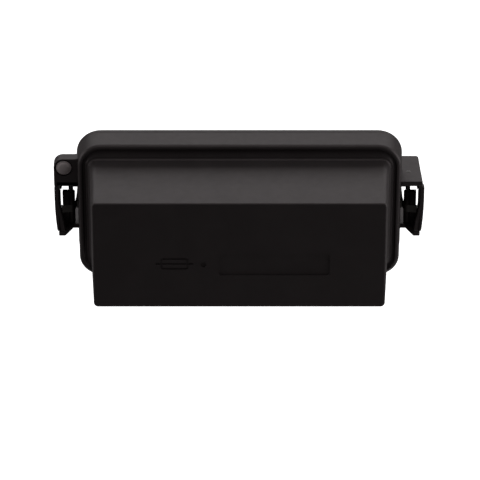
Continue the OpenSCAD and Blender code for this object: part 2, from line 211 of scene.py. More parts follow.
class Shape:
    """A piece in the making: closed solids gathered into one mesh."""

    def __init__(self, name: str) -> None:
        """Starts an empty piece.

        Args:
            name: Name of the finished piece.
        """
        self.name = name
        self.mesh = bmesh.new()

    def add(self, solid: bmesh.types.BMesh) -> None:
        """Takes in a closed solid and frees it.

        Args:
            solid: The solid.
        """
        bmesh.ops.recalc_face_normals(solid, faces=solid.faces[:])
        carrier = bpy.data.meshes.new("carrier")
        solid.to_mesh(carrier)
        solid.free()
        self.mesh.from_mesh(carrier)
        bpy.data.meshes.remove(carrier)

    def loft(self, rings: Sequence[Sequence[Vector]], closed: bool = False) -> Shape:
        """Skins a row of rings that have the same number of points.

        Args:
            rings: Rings in order.
            closed: True joins the last ring to the first; otherwise both ends get a cap.

        Returns:
            This shape.
        """
        solid = bmesh.new()
        rows = [[solid.verts.new(p) for p in ring] for ring in rings]
        count = len(rows[0])
        follow = [*zip(rows, rows[1:]), *([(rows[-1], rows[0])] if closed else [])]
        for row, after in follow:
            for k in range(count):
                solid.faces.new((row[k], row[(k + 1) % count], after[(k + 1) % count], after[k]))
        if not closed:
            solid.faces.new(rows[0])
            solid.faces.new(rows[-1])
        self.add(solid)
        return self

    def prism(
        self, outline: Sequence[Pair], plane: Plane, low: float, high: float,
        bevel: float = 0.25, steps: int = 3,
    ) -> Shape:
        """Draws out a flat outline and rounds its hard edges.

        Args:
            outline: The outline's corners in order, in millimetres.
            plane: Plane that it is drawn in.
            low: Where the solid starts along the drawn-out way.
            high: Where it ends.
            bevel: Radius of the rounded edges.
            steps: Number of chords across a rounded edge.

        Returns:
            This shape.
        """
        solid = bmesh.new()
        ends = [[solid.verts.new(plane.place(*p, at)) for p in outline] for at in (low, high)]
        count = len(outline)
        for k in range(count):
            solid.faces.new((ends[0][k], ends[0][(k + 1) % count], ends[1][(k + 1) % count], ends[1][k]))
        for end in ends:
            solid.faces.new(end)
        bmesh.ops.recalc_face_normals(solid, faces=solid.faces[:])
        if bevel > 0:
            hard = [e for e in solid.edges if e.calc_face_angle(0.0) > math.radians(BEVELLED_EDGE)]
            bmesh.ops.bevel(
                solid, geom=hard, offset=bevel * MM, offset_type="OFFSET", segments=steps, profile=0.5,
                affect="EDGES", clamp_overlap=True,
            )
        self.add(solid)
        return self

    def lathe(
        self, profile: Sequence[Pair], middle: Pair, plane: Plane, steps: int = 48, closed: bool = False
    ) -> Shape:
        """Turns a profile about an axis that runs the drawn-out way.

        Args:
            profile: Pairs of radius and distance along the axis, from one end to the other.
            middle: The axis's place in the plane.
            plane: Plane that the turned rings lie in.
            steps: Number of chords round the axis.
            closed: True for a ring, whose profile ends where it starts.

        Returns:
            This shape.
        """
        rings = []
        for radius, drawn in profile:
            turned = arc(middle, radius, 0, 360, steps)[:-1]
            rings.append([plane.place(*place, drawn) for place in turned])
        return self.loft(rings, closed)

    def thread(
        self, middle: Pair, radius: float, pitch: float, low: float, high: float, depth: float
    ) -> Shape:
        """Threaded rod that runs out of the box, with a true helix and chamfered ends.

        Args:
            middle: Place of its axis, along and up.
            radius: Outer radius of the thread.
            pitch: Distance between turns.
            low: Depth where the rod starts.
            high: Depth where it ends.
            depth: Height of the thread.

        Returns:
            This shape.
        """
        chords, rows_per_turn = 32, 8
        rows = int((high - low) / pitch * rows_per_turn)
        rings = []
        for row in range(rows + 1):
            out = low + (high - low) * row / rows
            end = min(out - low, high - out)
            chamfer = max(0.0, depth * 1.3 - end)
            ring = []
            for k in range(chords):
                phase = (out / pitch - k / chords) % 1.0
                groove = depth * (1 - abs(2 * phase - 1))
                reach = radius - max(groove, chamfer)
                turn = 2 * math.pi * k / chords
                along, up = reach * math.cos(turn), reach * math.sin(turn)
                ring.append(point(middle[0] + along, middle[1] + up, out))
            rings.append(ring)
        return self.loft(rings)

    def take(self, piece: bpy.types.Object) -> Shape:
        """Takes in a finished object's mesh and removes the object.

        Args:
            piece: The finished object.

        Returns:
            This shape.
        """
        self.mesh.from_mesh(piece.data)
        bpy.data.objects.remove(piece)
        return self

    def shifted(self, along: float, up: float) -> Shape:
        """Moves what has been built so far along the box and up it."""
        bmesh.ops.translate(self.mesh, vec=point(along, up, 0), verts=self.mesh.verts[:])
        return self

    def mirrored(self) -> Shape:
        """Flips the piece from one end of the box to the other.

        Returns:
            This shape.
        """
        bmesh.ops.scale(self.mesh, vec=(-1, 1, 1), verts=self.mesh.verts[:])
        bmesh.ops.reverse_faces(self.mesh, faces=self.mesh.faces[:])
        return self

    def turned_into(self, material: bpy.types.Material) -> bpy.types.Object:
        """Makes the finished object.

        Args:
            material: Its finish.

        Returns:
            The object, at the origin, with its place in its mesh.
        """
        mesh = bpy.data.meshes.new(self.name)
        self.mesh.to_mesh(mesh)
        self.mesh.free()
        mesh.materials.append(material)
        sharpen(mesh)
        made = bpy.data.objects.new(self.name, mesh)
        bpy.context.scene.collection.objects.link(made)
        return made


def rectangle(low: Pair, high: Pair) -> list[Pair]:
    """Corners of an upright rectangle, from its lowest and highest corner."""
    return [low, (high[0], low[1]), high, (low[0], high[1])]


def band(path: Sequence[Pair], thickness: float) -> list[Pair]:
    """Outline of a strip that follows a path.

    Args:
        path: Points of the strip's middle line.
        thickness: Thickness of the strip.

    Returns:
        The outline, up one side of the path and back down the other.
    """
    sides: tuple[list[Pair], list[Pair]] = ([], [])
    for k, here in enumerate(path):
        before, after = path[max(k - 1, 0)], path[min(k + 1, len(path) - 1)]
        run = Vector((after[0] - before[0], after[1] - before[1])).normalized()
        for side, sign in zip(sides, (1, -1)):
            side.append((here[0] - sign * run.y * thickness / 2, here[1] + sign * run.x * thickness / 2))
    return [*sides[0], *reversed(sides[1])]


def rounded(middle: Pair, size: Pair, radius: float) -> list[Pair]:
    """Outline of a rounded rectangle.

    Args:
        middle: Its centre.
        size: Its two sides.
        radius: Radius of its corners.

    Returns:
        The outline's points.
    """
    outline: list[Pair] = []
    for quarter, (side, end) in enumerate(CORNERS):
        corner = (middle[0] + side * (size[0] / 2 - radius), middle[1] + end * (size[1] / 2 - radius))
        outline += arc(corner, radius, 90 * quarter, 90 * quarter + 90, 5)
    return outline


def rounding(steps: int = 5) -> list[Pair]:
    """Pairs of inset and rise, from 0 to 1, along a rounded edge."""
    turns = [math.pi / 2 * k / steps for k in range(steps + 1)]
    return [(1 - math.cos(t), math.sin(t)) for t in turns]


def baked(piece: bpy.types.Object) -> bpy.types.Object:
    """Turns a piece with modifiers into a plain mesh.

    Args:
        piece: Object whose modifiers are evaluated and then removed.

    Returns:
        The same object.
    """
    bpy.context.view_layer.update()
    graph = bpy.context.evaluated_depsgraph_get()
    result = bpy.data.meshes.new_from_object(
        piece.evaluated_get(graph), preserve_all_data_layers=True, depsgraph=graph
    )
    old = piece.data
    piece.modifiers.clear()
    piece.data = result
    result.name = piece.name
    bpy.data.meshes.remove(old)
    return piece


def cut(piece: bpy.types.Object, cutter: bpy.types.Object) -> bpy.types.Object:
    """Cuts one object's solids out of another and removes the cutter.

    Args:
        piece: Object that is cut.
        cutter: Object whose closed solids are taken away.

    Returns:
        The piece.
    """
    modifier = piece.modifiers.new("cut", "BOOLEAN")
    modifier.operation, modifier.solver, modifier.object = "DIFFERENCE", "EXACT", cutter
    modifier.use_self = True
    baked(piece)
    bpy.data.objects.remove(cutter)
    return piece


def eased(
    node: bpy.types.Object, name: str, width: float, material: bpy.types.Material
) -> bpy.types.Object:
    """Copy of a CAD node with merged faces and rounded edges.

    Args:
        node: The CAD node.
        name: Name of the copy.
        width: Radius of its edges, in millimetres.
        material: Its finish.

    Returns:
        The copy.
    """
    work = bmesh.new()
    work.from_mesh(node.data)
    bmesh.ops.remove_doubles(work, verts=work.verts[:], dist=2e-6)
    bmesh.ops.dissolve_limit(work, angle_limit=math.radians(0.6), verts=work.verts[:], edges=work.edges[:])
    mesh = bpy.data.meshes.new(name)
    work.to_mesh(mesh)
    work.free()
    mesh.materials.clear()
    mesh.materials.append(material)
    made = bpy.data.objects.new(name, mesh)
    bpy.context.scene.collection.objects.link(made)
    bevel = made.modifiers.new("edges", "BEVEL")
    bevel.width, bevel.segments, bevel.limit_method = width * MM, 2, "ANGLE"
    bevel.angle_limit = math.radians(40)
    bevel.use_clamp_overlap = True
    baked(made)
    sharpen(made.data)
    return made


# ---------- geometry nodes ----------


class Grower:
    """Geometry-node tree with named inputs, run once and then removed."""

    def __init__(self, name: str) -> None:
        """Starts a tree that takes and gives geometry.

        Args:
            name: Name of the tree.
        """
        self.tree = bpy.data.node_groups.new(name, "GeometryNodeTree")
        self.tree.interface.new_socket("Geometry", in_out="INPUT", socket_type="NodeSocketGeometry")
        self.tree.interface.new_socket("Geometry", in_out="OUTPUT", socket_type="NodeSocketGeometry")
        self.entry = self.tree.nodes.new("NodeGroupInput")
        self.exit = self.tree.nodes.new("NodeGroupOutput")
        self.values: dict[str, object] = {}

    def input(self, name: str, kind: str, value: object) -> bpy.types.NodeSocket:
        """Adds a named input and gives the socket that carries it.

        Args:
            name: Name of the input.
            kind: Socket type, such as NodeSocketFloat.
            value: Value that the modifier gets.

        Returns:
            The entry node's output socket.
        """
        made = self.tree.interface.new_socket(name, in_out="INPUT", socket_type=kind)
        self.values[made.identifier] = value
        return self.entry.outputs[name]

    def node(
        self, kind: str, settings: Mapping[str, object] | None = None, **links: object
    ) -> bpy.types.Node:
        """Adds a node.

        Args:
            kind: Node type.
            settings: Properties that are set first.
            **links: Values or sockets for its inputs, named with _ for a space.

        Returns:
            The node.
        """
        made = self.tree.nodes.new(kind)
        for key, value in (settings or {}).items():
            setattr(made, key, value)
        for key, value in links.items():
            target = made.inputs[key.replace("_", " ")]
            if isinstance(value, bpy.types.NodeSocket):
                self.tree.links.new(value, target)
            else:
                target.default_value = value
        return made

    def run(
        self, name: str, result: bpy.types.NodeSocket, material: bpy.types.Material,
        seeds: Sequence[Vector] = (), links: Sequence[tuple[int, int]] = (),
    ) -> bpy.types.Object:
        """Realises the instances, sets the finish and gives a plain mesh.

        Args:
            name: Name of the piece.
            result: Socket that carries the grown geometry.
            material: Finish of the piece.
            seeds: Points that the tree starts from.
            links: Pairs of points that an edge joins.

        Returns:
            The piece, with no modifier left.
        """
        real = self.node("GeometryNodeRealizeInstances", Geometry=result)
        painted = self.node("GeometryNodeSetMaterial", Geometry=real.outputs[0], Material=material)
        self.tree.links.new(painted.outputs[0], self.exit.inputs[0])
        mesh = bpy.data.meshes.new(name)
        mesh.from_pydata([tuple(s) for s in seeds] or [(0, 0, 0)], list(links), [])
        piece = bpy.data.objects.new(name, mesh)
        bpy.context.scene.collection.objects.link(piece)
        modifier = piece.modifiers.new("grow", "NODES")
        modifier.node_group = self.tree
        for identifier, value in self.values.items():
            modifier[identifier] = value
        baked(piece)
        bpy.data.node_groups.remove(self.tree)
        sharpen(piece.data)
        return piece


def swept(
    name: str, path: Sequence[Vector], radius: float, material: bpy.types.Material
) -> bpy.types.Object:
    """Sweeps a round bead along a closed path.

    Args:
        name: Name of the bead.
        path: Points of the path.
        radius: Radius of the bead, in millimetres.
        material: Its finish.

    Returns:
        The bead.
    """
    grower = Grower(name)
    size = grower.input("Radius", "NodeSocketFloat", radius * MM)
    curve = grower.node("GeometryNodeMeshToCurve", Mesh=grower.entry.outputs[0])
    circle = grower.node("GeometryNodeCurvePrimitiveCircle", {"mode": "RADIUS"}, Resolution=12, Radius=size)
    tube = grower.node("GeometryNodeCurveToMesh", Curve=curve.outputs[0], Profile_Curve=circle.outputs[0])
    links = [(k, (k + 1) % len(path)) for k in range(len(path))]
    return grower.run(name, tube.outputs[0], material, path, links)


def repeated(pattern: bpy.types.Object, name: str, places: Sequence[Vector]) -> bpy.types.Object:
    """Sets copies of a piece at several places and removes the pattern.

    Args:
        pattern: Piece built about the frame's origin.
        name: Name of the finished piece.
        places: Where the copies go.

    Returns:
        One plain mesh with all copies.
    """
    grower = Grower(name)
    source = grower.input("Pattern", "NodeSocketObject", pattern)
    info = grower.node("GeometryNodeObjectInfo", Object=source)
    spread = grower.node(
        "GeometryNodeInstanceOnPoints", Points=grower.entry.outputs[0], Instance=info.outputs["Geometry"]
    )
    piece = grower.run(name, spread.outputs[0], pattern.data.materials[0], places)
    bpy.data.objects.remove(pattern)
    return piece


# ---------- finishes ----------


class Num:
    """A value socket of a shader, used with Python's own arithmetic."""

    def __init__(self, recipe: Recipe, socket: bpy.types.NodeSocket) -> None:
        """Wraps a socket.

        Args:
            recipe: Material that the socket belongs to.
            socket: The socket.
        """
        self.recipe, self.socket = recipe, socket

    def _math(self, operation: str, first: object, second: object) -> Num:
        """Adds one Math node and gives its result."""
        made = self.recipe.node("ShaderNodeMath", {"operation": operation}, {0: first, 1: second})
        return Num(self.recipe, made.outputs[0])

    def __add__(self, other: Num | float) -> Num:
        """Sum."""
        return self._math("ADD", self, other)

    __radd__ = __add__

    def __sub__(self, other: Num | float) -> Num:
        """Difference."""
        return self._math("SUBTRACT", self, other)

    def __mul__(self, other: Num | float) -> Num:
        """Product."""
        return self._math("MULTIPLY", self, other)

    def ramp(self, low: float, high: float) -> Num:
        """Smooth step from 0 at low to 1 at high.

        Args:
            low: Value that gives 0.
            high: Value that gives 1.

        Returns:
            The step.
        """
        made = self.recipe.node(
            "ShaderNodeMapRange", {"interpolation_type": "SMOOTHSTEP"},
            {"Value": self, "From Min": low, "From Max": high},
        )
        return Num(self.recipe, made.outputs["Result"])


class Recipe:
    """One material's node tree around a Principled shader."""

    def __init__(self, name: str) -> None:
        """Starts a material.

        Args:
            name: Name of the material.
        """
        self.material = bpy.data.materials.new(name)
        self.material.use_nodes = True
        self.tree = self.material.node_tree
        self.shader = self.tree.nodes["Principled BSDF"]
        self.place = self.node("ShaderNodeTexCoord").outputs["Object"]

    def node(
        self, kind: str, settings: Mapping[str, object] | None = None,
        inputs: Mapping[int | str, object] | None = None,
    ) -> bpy.types.Node:
        """Adds a node.

        Args:
            kind: Node type.
            settings: Properties that are set first.
            inputs: Values, sockets or Nums for its inputs.

        Returns:
            The node.
        """
        made = self.tree.nodes.new(kind)
        for key, value in (settings or {}).items():
            setattr(made, key, value)
        for key, value in (inputs or {}).items():
            self.feed(made.inputs[key], value)
        return made

    def feed(self, target: bpy.types.NodeSocket, value: object) -> None:
        """Links a socket or a Num to an input, or sets its value.

        Args:
            target: Input of a node.
            value: What it gets.
        """
        if isinstance(value, Num):
            self.tree.links.new(value.socket, target)
        elif isinstance(value, bpy.types.NodeSocket):
            self.tree.links.new(value, target)
        else:
            target.default_value = value

    def noise(
        self, size_mm: float, detail: float = 2.0, stretch: Vector | None = None, seed: float = 0.0
    ) -> Num:
        """Noise from 0 to 1 with grains of about a given size.

        Args:
            size_mm: Size of its grains, in millimetres.
            detail: Octaves of finer noise.
            stretch: Scale along each axis, for brushed and drawn surfaces.
            seed: Shifts the pattern.

        Returns:
            The noise.
        """
        turned = self.node(
            "ShaderNodeMapping", None,
            {
                "Vector": self.place, "Location": (seed, seed * 0.7, -seed),
                "Scale": tuple(stretch or (1, 1, 1)),
            },
        )
        made = self.node(
            "ShaderNodeTexNoise", None,
            {"Vector": turned.outputs[0], "Scale": 1 / (size_mm * MM), "Detail": detail},
        )
        return Num(self, made.outputs[0])

    def mix(self, share: Num | float, first: Color, second: Color) -> bpy.types.NodeSocket:
        """Colour between two others.

        Args:
            share: How much of the second colour.
            first: Colour where share is 0.
            second: Colour where share is 1.

        Returns:
            The colour's socket.
        """
        colors = {0: share, 6: (*first, 1), 7: (*second, 1)}
        made = self.node("ShaderNodeMix", {"data_type": "RGBA"}, colors)
        return made.outputs[2]

    def bump(self, height: Num, distance_mm: float) -> None:
        """Feeds a height into the shader's normal.

        Args:
            height: Height, from 0 to 1.
            distance_mm: Height that 1 stands for, in millimetres.
        """
        settings = {"Height": height, "Distance": distance_mm * MM, "Strength": 1.0}
        made = self.node("ShaderNodeBump", None, settings)
        self.feed(self.shader.inputs["Normal"], made.outputs[0])

    def set(self, **values: object) -> None:
        """Sets or links the shader's inputs, named with _ for a space."""
        for key, value in values.items():
            self.feed(self.shader.inputs[key.replace("_", " ")], value)


@dataclass(frozen=True)
class MouldedPlastic:
    """Injection-moulded plastic with a fine spark-eroded texture and a little handling dust."""

    name: str
    color: Color
    lighter: Color
    roughness: float = 0.45
    grain_mm: float = 0.22
    grain_height_mm: float = 0.012
    specular: float = 0.5
    sheen: Color = (1.0, 0.86, 0.875)

    def made(self) -> bpy.types.Material:
        """Builds the material.

        Returns:
            The material.
        """
        recipe = Recipe(self.name)
        cloud = recipe.noise(14, 3)
        grain = recipe.noise(self.grain_mm, 2, seed=0.3)
        wave = recipe.noise(3.5, 2, seed=0.8)
        shade = cloud.ramp(0.35, 0.7) * 0.6 + grain * 0.4
        recipe.set(
            Base_Color=recipe.mix(shade, self.color, self.lighter),
            Roughness=self.roughness + (wave - 0.5) * 0.1 + (grain - 0.5) * 0.1,
            Specular_IOR_Level=self.specular,
            Specular_Tint=(*self.sheen, 1.0),
        )
        recipe.bump(grain + wave * 0.35, self.grain_height_mm)
        return recipe.material


@dataclass(frozen=True)
class Silicone:
    """Soft silicone with a matt skin and faint bloom."""

    name: str
    color: Color
    bloom: Color

    def made(self) -> bpy.types.Material:
        """Builds the material.

        Returns:
            The material.
        """
        recipe = Recipe(self.name)
        bloom = recipe.noise(6, 4).ramp(0.45, 0.75)
        skin = recipe.noise(0.5, 3, seed=0.4)
        recipe.set(
            Base_Color=recipe.mix(bloom * 0.7, self.color, self.bloom),
            Roughness=0.62 + skin * 0.16,
            Subsurface_Weight=0.08,
            Subsurface_Scale=0.002,
        )
        recipe.bump(skin, 0.02)
        return recipe.material


@dataclass(frozen=True)
class Metal:
    """Plated, rolled or turned metal, with drawing lines along one axis and a stain in its colour."""

    name: str
    color: Color
    stain: Color
    roughness: float
    lines: tuple[float, float, float] = (1.0, 0.08, 1.0)

    def made(self) -> bpy.types.Material:
        """Builds the material.

        Returns:
            The material.
        """
        recipe = Recipe(self.name)
        line = recipe.noise(0.12, 2, Vector(self.lines))
        patch = recipe.noise(4, 3, seed=0.5).ramp(0.4, 0.75)
        recipe.set(
            Base_Color=recipe.mix(patch * 0.7 + line * 0.2, self.color, self.stain),
            Metallic=1.0,
            Roughness=self.roughness + patch * 0.12 + (line - 0.5) * 0.14,
        )
        recipe.bump(line, 0.004)
        return recipe.material


@dataclass(frozen=True)
class ClearPlastic:
    """Clear moulded polycarbonate with faint flow marks."""

    name: str
    tint: Color

    def made(self) -> bpy.types.Material:
        """Builds the material.

        Returns:
            The material.
        """
        recipe = Recipe(self.name)
        flow = recipe.noise(2.5, 2)
        recipe.set(
            Base_Color=recipe.mix(flow, self.tint, tuple(min(1.0, c * 1.05) for c in self.tint)),
            Roughness=0.04 + flow * 0.08,
            Transmission_Weight=0.92,
            IOR=1.58,
        )
        recipe.bump(flow, 0.01)
        return recipe.material


BLACK = MouldedPlastic("cover_plastic", (0.0215, 0.0184, 0.0188), (0.0280, 0.0240, 0.0245), 0.50)
BASE_BLACK = MouldedPlastic("base_plastic", (0.0190, 0.0182, 0.0186), (0.0250, 0.0240, 0.0245), 0.48)
LEVER_BLACK = MouldedPlastic("lever_plastic", (0.0245, 0.0212, 0.0214), (0.0315, 0.0277, 0.0280), 0.42)
BUTTON_GREY = MouldedPlastic("button_plastic", (0.37, 0.325, 0.325), (0.42, 0.37, 0.37), 0.46)
INNER_GREY = MouldedPlastic("inner_plastic", (0.036, 0.036, 0.038), (0.046, 0.046, 0.048), 0.5)
BLOCK_GREY = MouldedPlastic("block_plastic", (0.042, 0.043, 0.047), (0.056, 0.057, 0.061), 0.46)
LOCK_RED = MouldedPlastic("lock_plastic", (0.40, 0.028, 0.02), (0.5, 0.045, 0.03), 0.45)
SEAL_RED = Silicone("seal_silicone", (0.36, 0.085, 0.04), (0.46, 0.16, 0.10))
GASKET_RED = Silicone("gasket_silicone", (0.33, 0.08, 0.04), (0.42, 0.15, 0.1))
BRASS = Metal("brass", (0.78, 0.56, 0.25), (0.55, 0.38, 0.16), 0.26)
ZINC = Metal("zinc_steel", (0.72, 0.72, 0.69), (0.58, 0.59, 0.58), 0.3)
DARK_STEEL = Metal("dark_steel", (0.10, 0.096, 0.092), (0.07, 0.066, 0.064), 0.38)
COPPER = Metal("copper", (0.82, 0.45, 0.30), (0.52, 0.26, 0.17), 0.3, (0.08, 1.0, 1.0))
TINNED = Metal("tinned", (0.80, 0.79, 0.76), (0.66, 0.65, 0.62), 0.28)
CLEAR = ClearPlastic("clear_plastic", (0.88, 0.92, 0.94))


class FuseColor(Enum):
    """Rating colours of the cartridge fuses, named after the record's material slots."""

    fuse_pink = (0.80, 0.22, 0.32)
    fuse_green = (0.05, 0.34, 0.10)
    fuse_red = (0.56, 0.02, 0.02)
    fuse_yellow = (0.80, 0.52, 0.02)
    fuse_blue = (0.03, 0.24, 0.56)
    fuse_brown = (0.18, 0.07, 0.03)

    def made(self) -> bpy.types.Material:
        """Builds the housing's plastic in this colour.

        Returns:
            The material.
        """
        lighter = tuple(min(1.0, c * 1.18 + 0.01) for c in self.value)
        finish = MouldedPlastic(
            self.name, self.value, lighter, roughness=0.3, grain_mm=0.4, grain_height_mm=0.006
        )
        return finish.made()


@dataclass
class Palette:
    """The materials, each built once, under the name of the record's material slot."""

    made: dict[str, bpy.types.Material] = field(default_factory=dict)

    def __post_init__(self) -> None:
        """Builds every finish."""
        plastics = (BLACK, BASE_BLACK, LEVER_BLACK, BUTTON_GREY, INNER_GREY, BLOCK_GREY, LOCK_RED)
        for finish in (*plastics, SEAL_RED, GASKET_RED, BRASS, ZINC, DARK_STEEL, COPPER, TINNED, CLEAR):
            self.made[finish.name] = finish.made()
        for color in FuseColor:
            self.made[color.name] = color.made()

    def __getitem__(self, slot: str) -> bpy.types.Material:
        """Material of a slot."""
        return self.made[slot]


# ---------- tying pieces to the frame ----------


@dataclass(frozen=True)
class Bend:
    """Body and two points of a bend from a piece's own body to another; the piece itself isn't bent."""

    body: str
    start: Vector
    end: Vector


@dataclass(frozen=True)
class Bench:
    """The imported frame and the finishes, with what ties a piece to them."""

    frame: Mapping[str, Any]
    palette: Palette

    def slot_of(self, node: str) -> str:
        """Material slot that the record gives a node."""
        rows = self.frame["record"]["subparts"]
        return next(row["material_slot"] for row in rows if row["node"] == node)

    def body_of(self, node: str) -> str:
        """Body that a node moves with."""
        bodies = self.frame["record"]["behaviour"]["bodies"]
        return next(body for body, nodes in bodies.items() if node in nodes)

    def finish_of(self, node: str) -> bpy.types.Material:
        """Finish of a node."""
        return self.palette[self.slot_of(node)]

    def fit(self, piece: bpy.types.Object, *nodes: str, bends: Bend | None = None) -> None:
        """Evens a piece's shading, hides the CAD nodes of one body that it stands for, and ties it to that
        body unless bends is given.

        Args:
            piece: The piece.
            *nodes: Nodes that it stands for.
            bends: Two points of a bend to another body; when given, the piece is left untied in the frame
                and doesn't bend.
        """
        evened = piece.modifiers.new("normals", "WEIGHTED_NORMAL")
        evened.keep_sharp, evened.weight = True, 100
        baked(piece)
        body = self.body_of(nodes[0])
        if bends:
            tuple(bends.start)
            tuple(bends.end)
            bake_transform(piece)
        else:
            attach(piece, body)
        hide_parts(*nodes)
        self.slot_of(nodes[0])
        LOG.info("%s: %d faces, on %s", piece.name, len(piece.data.polygons), body)

    def ease(self, node: str, width: float) -> None:
        """Puts a copy with rounded edges in a node's place."""
        source = self.frame["nodes"][node]
        self.fit(eased(source, f"{node}_moulded", width, self.finish_of(node)), node)

    def dress(self) -> None:
        """Gives every CAD node its finish, also those that stay as they are."""
        for name, node in self.frame["nodes"].items():
            node.data.materials.clear()
            node.data.materials.append(self.finish_of(name))


# ---------- cover ----------


@dataclass
class CoverMoulding:
    """The cover's one-piece moulding: rim, raised body, latch brackets and the button's ear."""

    rim: Outline = Outline(160, 74, 10.8, 12)
    skirt_inside: Outline = Outline(155, 69, 9.5, 9.5)
    leg: Outline = Outline(149, 63, 6.5, 6.5)
    leg_inside: Outline = Outline(144, 58, 4, 4)
    foot: Outline = Outline(148.4, 58.6, 4, 4)
    face: Outline = Outline(142.6, 58.2, 2.2, 1.8)
    flare: float = 1.0
    back: float = 14
    front: float = 31
    face_out: float = 75
    wall: float = 2.5
    leg_out: float = 22
    rim_round: float = 1.8
    face_round: float = 0.9
    foot_round: float = 1.5
    groove: float = 1.0
    band: float = 2.6
    break_edge: float = 0.3
    guard_half: float = 15.5
    guard_wall: float = 2.5
    guard_back: float = 1.4
    guard_front: float = 28.5
    ear_top: float = 28.1
    ear_end: float = 91.9
    ear_radius: float = 4.5
    ear_fillet: float = 2.5
    ear_back: float = 22.5
    bracket_edge: float = 0.35
    button: Pair = BUTTON_AT
    button_recess: Pair = (4.45, 0.8)
    mark_depth: float = 0.5
    symbol_at: Pair = (-31.6, -4.4)
    symbol: Pair = (13.6, 6.4)
    stroke: float = 0.9
    dot_at: Pair = (-17.5, -4.9)
    dot_radius: float = 1.45
    panel_at: Pair = (17, -4.9)
    panel: Pair = (54, 12)

    def body(self, out: float) -> Outline:
        """Outline of the raised body at a distance from the mounting face."""
        return self.foot.toward(self.face, (out - self.front) / (self.face_out - self.front))

    def flared(self, out: float) -> Outline:
        """Outline of the rim at a depth; towards its back edge its ends flare.

        Args:
            out: Distance from the mounting face.

        Returns:
            The outline.
        """
        more = self.flare * (self.front - self.rim_round - out) / (self.front - self.rim_round - self.back)
        low, top = self.rim.low_radius + more / 2, self.rim.top_radius + more / 2
        return Outline(self.rim.length + 2 * more, self.rim.height, low, top)

    def inside(self) -> list[tuple[Outline, float]]:
        """Outlines and depths from the inner ceiling round the leg and the skirt to the back edge.

        Returns:
            Outlines, each with its distance from the mounting face.
        """
        under, edge = self.front - self.wall, self.break_edge
        ceiling = self.face.inset(self.wall)
        return [
            (ceiling.inset(0.8), self.face_out - self.wall),
            (ceiling.inset(0.2), self.face_out - self.wall - 0.2),
            (ceiling, self.face_out - self.wall - 0.8),
            (self.foot.inset(self.wall), under),
            (self.leg_inside, under),
            (self.leg_inside, self.leg_out + edge),
            (self.leg_inside.inset(-edge), self.leg_out),
            (self.leg.inset(edge), self.leg_out),
            (self.leg, self.leg_out + edge),
            (self.leg, under),
            (self.skirt_inside, under),
            (self.skirt_inside, self.back + edge),
            (self.skirt_inside.inset(-edge), self.back),
            (self.flared(self.back).inset(edge), self.back),
            (self.flared(self.back), self.back + edge),
            (self.flared(self.back + self.band), self.back + self.band),
            (self.flared(self.back + self.band).inset(0.15), self.back + self.band + 0.25),
        ]

    def outside(self) -> list[tuple[Outline, float]]:
        """Outlines and depths from the rim's side over the groove and the body to the front face.

        Returns:
            Outlines, each with its distance from the mounting face.
        """
        floor, lip, small = self.front - self.groove, self.rim_round + 0.2, 0.4
        edge, corner = self.rim_round, 0.5
        rows = [(self.rim.inset(edge * a), self.front - edge * (1 - b)) for a, b in rounding(7)]
        rows += [(self.rim.inset(lip + small * b), self.front - small * a) for a, b in rounding(4)]
        slope = self.rim.inset(lip + small)
        rows += [(slope.inset(corner * a), floor + corner * (1 - b)) for a, b in rounding(4)]
        slope, shoulder = slope.inset(corner), self.foot.inset(-self.foot_round)
        for part in (0.25, 0.5, 0.75):
            rows.append((slope.toward(shoulder, part), floor + self.groove * part * part))
        for a, b in rounding(8):
            out = self.front + self.foot_round * a
            rows.append((self.body(out).inset(-self.foot_round * (1 - b)), out))
        for a, b in rounding(6):
            out = self.face_out - self.face_round * (1 - b)
            rows.append((self.body(out).inset(self.face_round * a), out))
        return rows

    def marks(self, finish: bpy.types.Material) -> bpy.types.Object:
        """Cutter for the generic marks: a fuse symbol, a dot and a blank name panel.

        Args:
            finish: Finish of the moulding.

        Returns:
            The cutter.
        """
        low, high = self.face_out - self.mark_depth, self.face_out + 1
        along, up = self.symbol_at
        window = (self.symbol[0] - 2 * self.stroke, self.symbol[1] - 2 * self.stroke)
        frame = Shape("frame").prism(rounded(self.symbol_at, self.symbol, 0.9), Plane.OUT, low, high, 0)
        hole = Shape("hole").prism(rounded(self.symbol_at, window, 0.4), Plane.OUT, low - 1, high + 1, 0)
        marks = Shape("marks").take(cut(frame.turned_into(finish), hole.turned_into(finish)))
        wire, half = 9.2, self.stroke / 2
        for start in (along - wire, along):
            corners = rectangle((start, up - half), (start + wire, up + half))
            marks.prism(corners, Plane.OUT, low, high, 0)
        marks.lathe([(self.dot_radius, low), (self.dot_radius, high)], self.dot_at, Plane.OUT, 32)
        marks.prism(rounded(self.panel_at, self.panel, 1.2), Plane.OUT, low, high, 0)
        return marks.turned_into(finish)

    def guard(self, shape: Shape, side: int) -> None:
        """Adds one end's bracket: a straight upper wall and a lower wall with a slanted front.

        Args:
            shape: Shape that takes it in.
            side: 1 for the right end, -1 for the left.
        """
        root, half, inner = 79.5, self.guard_half, self.guard_half - self.guard_wall
        back = [(root, self.guard_back), *arc((88.4, self.guard_back + 1.5), 1.5, -90, -3, 5)]
        upper = [*back, (90.9, self.guard_front), (root, self.guard_front)]
        lower = [*back, (90.2, self.guard_front), (86.9, self.guard_front), (83.2, 20.6), (root, 20.6)]
        for outline, low, high in ((upper, inner, half), (lower, -half, -inner)):
            shape.prism([(side * x, out) for x, out in outline], Plane.UP, low, high, self.bracket_edge)

